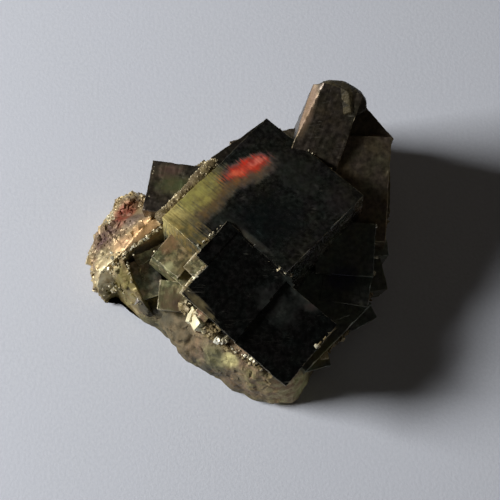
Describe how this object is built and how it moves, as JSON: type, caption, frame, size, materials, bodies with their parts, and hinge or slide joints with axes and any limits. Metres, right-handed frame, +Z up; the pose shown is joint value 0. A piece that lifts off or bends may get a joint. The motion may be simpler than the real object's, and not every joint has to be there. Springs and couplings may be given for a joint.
{
  "type": "mineral specimen of intergrown metallic cubic crystals on rock matrix",
  "caption": "Mineral specimen: dark metallic cubic crystals grown through one another on a small piece of pale granular rock, resting on its flat underside.",
  "frame": {"origin": "middle of the flat underside that the specimen rests on", "axes": "+Z up, +Y towards the tall crystal at the back, +X towards the sloping shoulder crystals at the right"},
  "size_m": [0.0621, 0.0589, 0.0328],
  "materials": {
    "dark_bronze": "tarnished metallic crystal faces with fine growth lines, brassy on edges and on the granular lobe",
    "pale_rock": "matt, granular, lumpy and pitted"
  },
  "bodies": {
    "root": {"crystal_cluster": "dark_bronze", "matrix": "pale_rock"}
  },
  "joints": []
}
